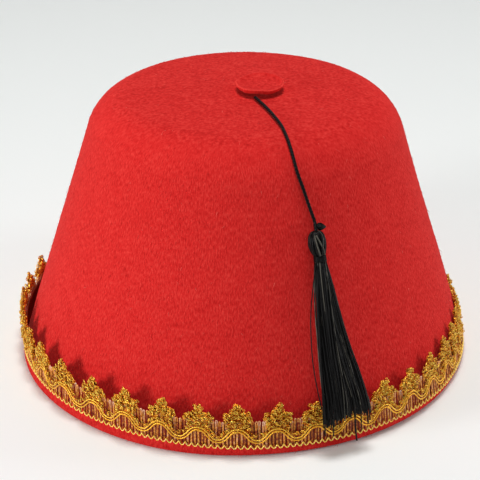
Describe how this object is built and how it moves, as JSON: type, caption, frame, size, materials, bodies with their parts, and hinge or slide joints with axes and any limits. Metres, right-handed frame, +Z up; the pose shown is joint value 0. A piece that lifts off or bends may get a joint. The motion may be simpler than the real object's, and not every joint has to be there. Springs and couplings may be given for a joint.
{
  "type": "fez hat with tassel",
  "caption": "Red felt fez: tapered crown open at the bottom, gold braid with standing fleurons round the rim, felt button and black corded tassel.",
  "frame": {"origin": "centre of the rim's flat bottom, on the hat's own axis", "axes": "+Z up through the middle of the top, -Y to the front, +X to the side where the tassel hangs"},
  "size_m": [0.191, 0.191, 0.116],
  "materials": {
    "red_felt": "pressed wool-like felt with a short nap",
    "gold_braid": "metallic gold yarn gimp over dull thread",
    "black_cord": "twisted rayon, silky"
  },
  "bodies": {
    "root": {"crown": "red_felt", "top_button": "red_felt", "trim_braid": "gold_braid", "tassel_cord": "black_cord", "cord_knot": "black_cord", "tassel_head": "black_cord", "tassel_binding": "black_cord", "tassel_skirt": "black_cord"}
  },
  "joints": []
}
